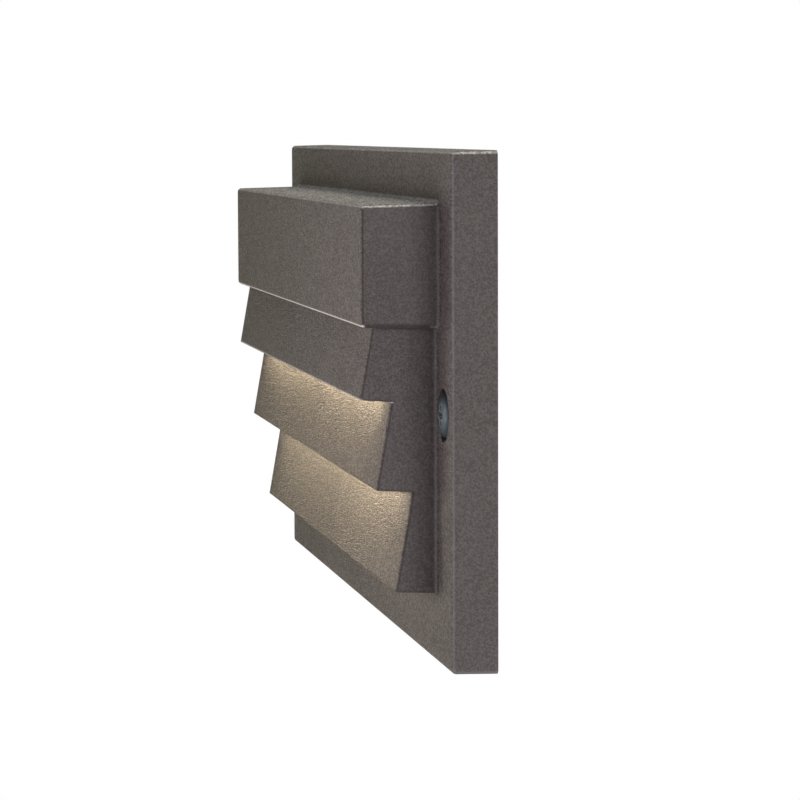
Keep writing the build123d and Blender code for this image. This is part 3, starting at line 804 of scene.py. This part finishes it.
@dataclass
class Camera:
    """The photograph's viewpoint, with its turns in degrees and its lens in millimetres."""

    place: Point = (517.5551 * MM, -97.1622 * MM, 41.5386 * MM)
    yaw: float = 10.6160
    pitch: float = 4.9854
    roll: float = -0.2186
    lens: float = 141.112
    sensor: float = 36.0
    nearest: float = 0.01
    farthest: float = 100.0

    def build(self) -> None:
        """Makes the camera and hands it to the scene."""
        yaw, pitch, roll = (radians(angle) for angle in (self.yaw, self.pitch, self.roll))
        ahead = Vector((-cos(yaw) * cos(pitch), sin(yaw) * cos(pitch), -sin(pitch)))
        level = ahead.cross(Vector((0, 0, 1))).normalized()
        rise = level.cross(ahead)
        right = level * cos(roll) + rise * sin(roll)
        up = rise * cos(roll) - level * sin(roll)
        turn = Matrix((right, up, -ahead)).transposed().to_4x4()
        data = bpy.data.cameras.new("photo_camera")
        data.lens = self.lens
        data.sensor_width = self.sensor
        data.clip_start = self.nearest
        data.clip_end = self.farthest
        camera = stand("photo_camera", data)
        camera.matrix_world = Matrix.Translation(self.place) @ turn
        bpy.context.scene.camera = camera


@dataclass
class Softbox:
    """One rectangular lamp of the studio, or of the light itself."""

    name: str
    place: Point
    size: tuple[float, float]
    power: float
    colour: Colour
    aim: Point = (0.0, 0.0, 0.0)
    spread: float = pi

    def build(self) -> None:
        """Makes the lamp, unseen by the camera."""
        data = bpy.data.lights.new(self.name, "AREA")
        data.shape = "RECTANGLE"
        data.size, data.size_y = self.size
        data.energy = self.power
        data.color = self.colour
        data.spread = self.spread
        lamp = stand(self.name, data)
        lamp.location = self.place
        lamp.rotation_mode = "QUATERNION"
        lamp.rotation_quaternion = (Vector(self.aim) - Vector(self.place)).to_track_quat("-Z", "Y")
        lamp.visible_camera = False


@dataclass
class Studio:
    """White surroundings, a pale floor and soft lamps."""

    floor_z: float = -0.125
    floor_half: float = 6.0
    floor_colour: Colour = (0.85, 0.85, 0.85)
    ambient: float = 0.06
    ambient_colour: Colour = (1.0, 0.93, 0.87)

    def build(self) -> None:
        """Makes the floor, the world and the lamps."""
        self._floor()
        self._world()
        near = (0.06, -0.12, 0.0)
        for lamp in (
            Softbox("high_left_softbox", self._round(-90, 45, 0.9), (0.45, 0.45), 2.56, (1.0, 1.0, 0.97)),
            Softbox("left_front_softbox", self._round(-30, 0, 0.6), (0.2, 0.2), 1.04, (0.99, 1.0, 0.8)),
            Softbox("near_softbox", near, (0.06, 0.06), 0.058, (1.0, 0.88, 0.98), aim=(0.05, 0.0, 0.0)),
            Softbox("side_softbox", self._round(100, 0, 0.4), (0.2, 0.2), 0.62, (0.94, 0.92, 1.0)),
            Softbox("high_rear_softbox", self._round(150, 60, 0.6), (0.3, 0.3), 1.4, (1.0, 0.9, 0.62)),
        ):
            lamp.build()
        bpy.context.scene.view_settings.view_transform = "Standard"

    @staticmethod
    def _round(azimuth: float, elevation: float, reach: float) -> Point:
        """Finds a lamp's place from degrees round the object, 0 in front, and above it."""
        turn, lift = radians(azimuth), radians(elevation)
        return (reach * sin(turn) * cos(lift), -reach * cos(turn) * cos(lift), reach * sin(lift))

    def _floor(self) -> None:
        """Lays a plain pale sheet under the light, clear of it, that the camera sees as white."""
        mesh = bpy.data.meshes.new("studio_floor")
        half = self.floor_half
        corners = [(-half, -half), (half, -half), (half, half), (-half, half)]
        mesh.from_pydata([(x, y, self.floor_z) for x, y in corners], [], [(0, 1, 2, 3)])
        material = bpy.data.materials.new("pale_floor")
        graph = Graph.blank(material)
        matt = graph.add("ShaderNodeBsdfDiffuse", {"Color": (*self.floor_colour, 1.0)}).outputs[0]
        white = graph.add("ShaderNodeEmission", {"Color": WHITE, "Strength": 1.0}).outputs[0]
        seen = graph.add("ShaderNodeLightPath").outputs["Is Camera Ray"]
        both = graph.add("ShaderNodeMixShader", {0: seen, 1: matt, 2: white})
        graph.add("ShaderNodeOutputMaterial", {"Surface": both.outputs[0]})
        mesh.materials.append(material)
        stand("studio_floor", mesh)

    def _world(self) -> None:
        """Fills the surroundings with even light, seen as pure white by the camera."""
        world = bpy.data.worlds.new("white_surround")
        graph = Graph.blank(world)
        even = {"Color": (*self.ambient_colour, 1.0), "Strength": self.ambient}
        lit = graph.add("ShaderNodeBackground", even).outputs[0]
        white = graph.add("ShaderNodeBackground", {"Color": WHITE, "Strength": 1.0}).outputs[0]
        seen = graph.add("ShaderNodeLightPath").outputs["Is Camera Ray"]
        both = graph.add("ShaderNodeMixShader", {0: seen, 1: lit, 2: white})
        graph.add("ShaderNodeOutputWorld", {"Surface": both.outputs[0]})
        bpy.context.scene.world = world


@dataclass
class LouvreGlow:
    """The LEDs' light where it leaves each slot, in soft pools on the face below.

    Attributes:
        lip_z, lip_proud: Height of the upper louvres' lips, and how far they stand off the plate.
        blade, strip: Thickness of a louvre, and height of a lamp behind it.
        balance: Shares of the power that the left and the right pool get.
        lean, throw: How far forward of itself, and below its lip, a lamp is aimed.
        strips: Each lamp's lip, lift above it and power.
    """

    lip_z: tuple[float, ...] = (1.45 * MM, -12.0 * MM)
    lip_proud: tuple[float, ...] = (11.6 * MM, 9.2 * MM)
    plate_front: float = 6.8 * MM
    blade: float = 1.6 * MM
    strip: float = 0.9 * MM
    pool_x: tuple[float, float] = (-30.25 * MM, 30.25 * MM)
    pool_w: float = 57.5 * MM
    balance: tuple[float, float] = (0.92, 1.0)
    spread: float = 2.3
    lean: float = 2.5 * MM
    throw: float = 8 * MM
    strips: tuple[tuple[int, float, float], ...] = (
        (0, 1.3 * MM, 0.0028),
        (0, 4.6 * MM, 0.0076),
        (1, 4.6 * MM, 0.0198),
        (1, 6.8 * MM, 0.0095),
    )
    colour: Colour = (1.0, 0.87, 0.55)

    def build(self) -> None:
        """Hangs warm strips of light behind the upper louvres' lips."""
        for index, (lip, lift, power) in enumerate(self.strips):
            low = self.lip_z[lip]
            depth = self.plate_front + self.lip_proud[lip] - self.blade - self.strip
            for side, x, share in zip("lr", self.pool_x, self.balance):
                Softbox(
                    f"slot_glow_{index}_{side}",
                    (x, -depth, low + lift),
                    (self.pool_w, self.strip),
                    power * share,
                    self.colour,
                    aim=(x, -depth + self.lean, low - self.throw),
                    spread=self.spread,
                ).build()


class Shop:
    """Turns mesh data into finished pieces that sit where the solids sit."""

    def __init__(self, materials: Materials) -> None:
        """Keeps the light's finishes."""
        self.materials = materials

    def mesh(self, name: str, shape: bmesh.types.BMesh, finish: str) -> Piece:
        """Makes an object of a shape.

        Args:
            name: The object's name.
            shape: The shape, freed here.
            finish: The slot whose finish it wears.

        Returns:
            The object, linked to the scene.
        """
        bmesh.ops.recalc_face_normals(shape, faces=shape.faces)
        data = bpy.data.meshes.new(name)
        shape.to_mesh(data)
        shape.free()
        data.materials.append(self.materials.by_name[finish])
        return stand(name, data)

    def bake(self, name: str, source: Piece) -> Piece:
        """Turns a piece with live modifiers into a plain mesh and drops the source.

        Args:
            name: The new piece's name.
            source: The piece with modifiers.

        Returns:
            The plain piece.
        """
        graph = bpy.context.evaluated_depsgraph_get()
        shaped = source.evaluated_get(graph)
        data = bpy.data.meshes.new_from_object(shaped, preserve_all_data_layers=True, depsgraph=graph)
        data.name = name
        made = stand(name, data)
        bpy.data.objects.remove(source, do_unlink=True)
        return made

    def finish(self, piece: Piece, slot: str, node: str) -> None:
        """Hands a piece to the frame.

        Args:
            piece: The plain piece.
            slot: The record's slot that it wears.
            node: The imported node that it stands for.
        """
        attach(piece, "root")
        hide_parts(node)
        LOG.info("%s: %d faces, wears %s", piece.name, len(piece.data.polygons), slot)


class Repeat:
    """A Geometry Nodes tree that stands copies of one piece on a grid in the wall's plane."""

    def __init__(self) -> None:
        """Builds the tree."""
        graph = Graph(bpy.data.node_groups.new("Rows On The Wall Plane", "GeometryNodeTree"))
        graph.sockets(
            [
                ("Geometry", "INPUT", "Geometry", None),
                ("Copy", "INPUT", "Object", None),
                ("Finish", "INPUT", "Material", None),
                ("Columns", "INPUT", "Int", 2),
                ("Rows", "INPUT", "Int", 1),
                ("Column Pitch", "INPUT", "Float", 0.01),
                ("Row Pitch", "INPUT", "Float", 0.01),
                ("Middle", "INPUT", "Vector", (0.0, 0.0, 0.0)),
                ("Turn", "INPUT", "Float", 0.0),
                ("Turn Spread", "INPUT", "Float", 0.0),
                ("Seed", "INPUT", "Int", 7),
                ("Geometry", "OUTPUT", "Geometry", None),
            ]
        )
        takes = graph.add("NodeGroupInput").outputs
        wide, high = (
            graph.times(graph.math("SUBTRACT", takes[f"{way}s"], 1.0), takes[f"{way} Pitch"])
            for way in ("Column", "Row")
        )
        grid = graph.add(
            "GeometryNodeMeshGrid",
            {"Size X": wide, "Size Y": high, "Vertices X": takes["Columns"], "Vertices Y": takes["Rows"]},
        )
        upright = graph.add(
            "GeometryNodeTransform",
            {"Geometry": grid.outputs[0], "Translation": takes["Middle"], "Rotation": (pi / 2, 0.0, 0.0)},
        )
        turn = self._turn(graph, takes)
        copy = graph.add("GeometryNodeObjectInfo", {"Object": takes["Copy"]})
        stand = graph.add(
            "GeometryNodeInstanceOnPoints",
            {"Points": upright.outputs[0], "Instance": copy.outputs["Geometry"], "Rotation": turn},
        )
        real = graph.add("GeometryNodeRealizeInstances", {"Geometry": stand.outputs[0]})
        wears = {"Geometry": real.outputs[0], "Material": takes["Finish"]}
        dressed = graph.add("GeometryNodeSetMaterial", wears)
        graph.add("NodeGroupOutput", {"Geometry": dressed.outputs[0]})
        self.tree = graph.tree

    @staticmethod
    def _turn(graph: Graph, takes: Sockets) -> Socket:
        """Turns each copy about its own axis, as screws end up when they are driven home.

        Args:
            graph: The tree's graph.
            takes: The tree's inputs.

        Returns:
            The rotation of each copy.
        """
        chance = graph.add("FunctionNodeRandomValue", data_type="FLOAT")
        ends = [socket for socket in chance.inputs if socket.type == "VALUE"]
        graph.fill(ends, {0: graph.times(takes["Turn Spread"], -1.0), 1: takes["Turn Spread"]})
        graph.fill(chance.inputs, {"Seed": takes["Seed"]})
        value = next(socket for socket in chance.outputs if socket.type == "VALUE")
        angle = graph.math("ADD", takes["Turn"], value)
        return graph.add("ShaderNodeCombineXYZ", {"Y": angle}).outputs[0]

    def lay(
        self, shop: Shop, name: str, copy: Piece, values: dict[str, object]
    ) -> Piece:
        """Runs the tree and keeps its result as a plain mesh.

        Args:
            shop: Where the pieces are made.
            name: The new piece's name.
            copy: What is repeated, removed afterwards.
            values: The tree's inputs by name.

        Returns:
            The plain piece.
        """
        host = stand(f"{name}_host", bpy.data.meshes.new(f"{name}_host"))
        layer = host.modifiers.new("rows", "NODES")
        layer.node_group = self.tree
        inputs = (item for item in self.tree.interface.items_tree if item.in_out == "INPUT")
        known = {item.name: item.identifier for item in inputs}
        for key, value in {"Copy": copy, "Finish": copy.data.materials[0], **values}.items():
            layer[known[key]] = value
        made = shop.bake(name, host)
        bpy.data.objects.remove(copy, do_unlink=True)
        return made


@dataclass
class CrossScrew:
    """A pan-head machine screw with a cross recess, standing with its head towards -Y at Y = 0.

    Attributes:
        head_r, head_h, crown: Radius and height of the head, and radius of its rounded rim.
        shank_r, shank_l: Radius and length of the shank.
        recess_r, recess_w, recess_d: Reach of the cross from the axis, its slots' width, its depth.
        thread_pitch: Step between two crests of the thread.
        sides: How many sides a turned ring has.
    """

    head_r: float
    head_h: float
    crown: float
    shank_r: float
    shank_l: float
    recess_r: float
    recess_w: float
    recess_d: float
    thread_pitch: float
    sides: int = 48

    RIM_SHARE = 0.62
    RIM_STEPS = 8
    RIM_DROP = 0.03 * MM
    DOME_DROP = 0.01 * MM
    UNDERCUT = 0.12 * MM
    THREAD_DEPTH = 0.3
    TIP = 0.3 * MM
    CUTTER_PROUD = 0.3 * MM
    CUTTER_SIZES = (1.06, 0.42)
    SHARP = 28.0

    def build(self, shop: Shop, name: str, finish: str) -> Piece:
        """Makes the screw, with the cross driven into its head.

        Args:
            shop: Where the pieces are made.
            name: The piece's name.
            finish: The slot that it wears.

        Returns:
            The screw, its seat at the origin, its head on the -Y side.
        """
        screw = shop.mesh(name, self._turned(), finish)
        cutter = shop.mesh(f"{name}_cutter", self._cross(), finish)
        cut = screw.modifiers.new("cross", "BOOLEAN")
        cut.operation = "DIFFERENCE"
        cut.solver = "EXACT"
        cut.object = cutter
        made = shop.bake(name, screw)
        bpy.data.objects.remove(cutter, do_unlink=True)
        made.data.shade_smooth()
        made.data.set_sharp_from_angle(angle=radians(self.SHARP))
        return made

    def _turned(self) -> bmesh.types.BMesh:
        """Turns the head and its shank.

        Returns:
            Their shape.
        """
        shape = bmesh.new()
        angles = [2 * pi * k / self.sides for k in range(self.sides)]
        rings = [
            [shape.verts.new((radius * cos(angle), y, radius * sin(angle))) for angle in angles]
            for radius, y in self._outline()
        ]
        for lower, upper in zip(rings, rings[1:]):
            self._wall(shape, lower, upper)
        shape.faces.new(rings[0])
        shape.faces.new(tuple(reversed(rings[-1])))
        return shape

    @staticmethod
    def _wall(shape: bmesh.types.BMesh, lower: list, upper: list) -> None:
        """Joins two rings of points with faces.

        Args:
            shape: The shape that gets the faces.
            lower: The first ring.
            upper: The second ring.
        """
        for k in range(len(lower)):
            after = (k + 1) % len(lower)
            shape.faces.new((lower[k], lower[after], upper[after], upper[k]))

    def _outline(self) -> list[tuple[float, float]]:
        """Lists the turned outline from the crown to the tip.

        Returns:
            Points as (radius, Y).
        """
        flat = self.head_r - self.crown
        drop = self.head_h * self.RIM_SHARE
        points = [(self.recess_r * 0.3, -self.head_h), (flat * 0.8, -self.head_h + self.DOME_DROP)]
        for k in range(self.RIM_STEPS + 1):
            angle = pi / 2 * k / self.RIM_STEPS
            y = -self.head_h + self.RIM_DROP + drop * (1 - cos(angle))
            points.append((flat + self.crown * sin(angle), y))
        points += [(self.head_r, -self.UNDERCUT), (self.head_r - self.UNDERCUT, 0.0), (self.shank_r, 0.0)]
        y = self.thread_pitch
        core = self.shank_r - self.THREAD_DEPTH * self.thread_pitch
        while y < self.shank_l - self.thread_pitch:
            points += [(self.shank_r, y), (core, y + self.thread_pitch / 2)]
            y += self.thread_pitch
        points += [(self.shank_r * 0.98, self.shank_l - self.TIP), (self.shank_r * 0.75, self.shank_l)]
        return points

    def _cross(self) -> bmesh.types.BMesh:
        """Makes the tapered cross that is driven into the head.

        Returns:
            Its shape.
        """
        shape = bmesh.new()
        half, reach = self.recess_w / 2, self.recess_r
        flat = []
        quarter = [(half, reach), (-half, reach), (-half, half)]
        for _ in range(4):
            flat += quarter
            quarter = [(-b, a) for a, b in quarter]
        depths = (-self.head_h - self.CUTTER_PROUD, -self.head_h + self.recess_d)
        top, bottom = (
            [shape.verts.new((a * size, y, b * size)) for a, b in flat]
            for y, size in zip(depths, self.CUTTER_SIZES)
        )
        self._wall(shape, top, bottom)
        shape.faces.new(top)
        shape.faces.new(bottom)
        return shape


@dataclass
class ScrewSet:
    """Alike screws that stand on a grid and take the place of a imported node.

    Attributes:
        name, node: The set's name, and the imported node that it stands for.
        slot: The record's slot that it wears.
        rows: How many stand above each other. Two stand side by side.
        pitch: Steps between the columns and between the rows.
        seat, z: Depth of the heads' seats behind the wall's plane, and height of the grid's middle.
        turn: Turn of the crosses, and how far each may be off it, in radians.
        outward: Whether the heads face away from the wall.
    """

    name: str
    node: str
    slot: str
    screw: CrossScrew
    rows: int
    pitch: tuple[float, float]
    seat: float
    z: float
    turn: tuple[float, float]
    outward: bool

    def build(self, shop: Shop, repeat: Repeat) -> None:
        """Makes the screws.

        Args:
            shop: Where the pieces are made.
            repeat: The tree that stands them on the grid.
        """
        one = self.screw.build(shop, self.name.rpartition("_")[0], self.slot)
        if not self.outward:
            one.data.transform(Matrix.Rotation(pi, 4, "X"))
        values = {
            "Columns": 2,
            "Rows": self.rows,
            "Column Pitch": self.pitch[0],
            "Row Pitch": self.pitch[1],
            "Middle": (0.0, -self.seat, self.z),
            "Turn": self.turn[0],
            "Turn Spread": self.turn[1],
        }
        shop.finish(repeat.lay(shop, self.name, one, values), self.slot, self.node)


SCREW_SETS = (
    ScrewSet(
        "face_screw_pair",
        "face_screws",
        "screw_steel",
        CrossScrew(
            head_r=3.43 * MM,
            head_h=2.2 * MM,
            crown=1.5 * MM,
            shank_r=1.75 * MM,
            shank_l=4.9 * MM,
            recess_r=1.75 * MM,
            recess_w=1.05 * MM,
            recess_d=1.5 * MM,
            thread_pitch=0.7 * MM,
        ),
        rows=1,
        pitch=(139.8 * MM, 10.0 * MM),
        seat=5.1 * MM,
        z=-0.6 * MM,
        turn=(0.04, 0.05),
        outward=True,
    ),
    ScrewSet(
        "cover_screw_set",
        "cover_screws",
        "zinc_steel",
        CrossScrew(
            head_r=1.8 * MM,
            head_h=1.0 * MM,
            crown=0.6 * MM,
            shank_r=0.95 * MM,
            shank_l=4.2 * MM,
            recess_r=1.05 * MM,
            recess_w=0.5 * MM,
            recess_d=0.7 * MM,
            thread_pitch=0.45 * MM,
            sides=32,
        ),
        rows=2,
        pitch=(103.6 * MM, 22.9 * MM),
        seat=1.2 * MM,
        z=21.15 * MM,
        turn=(0.0, 0.7),
        outward=False,
    ),
)


def main() -> None:
    """Builds the light's dressed pieces in order and sets the studio round them."""
    logging.basicConfig(level=logging.INFO, format="%(name)s: %(message)s")
    Camera().build()
    Studio().build()
    LouvreGlow().build()
    materials = Materials()
    materials.dress_nodes()
    shop = Shop(materials)
    repeat = Repeat()
    for screws in SCREW_SETS:
        screws.build(shop, repeat)
    LOG.info("sizes written")


if __name__ == "__main__":
    main()
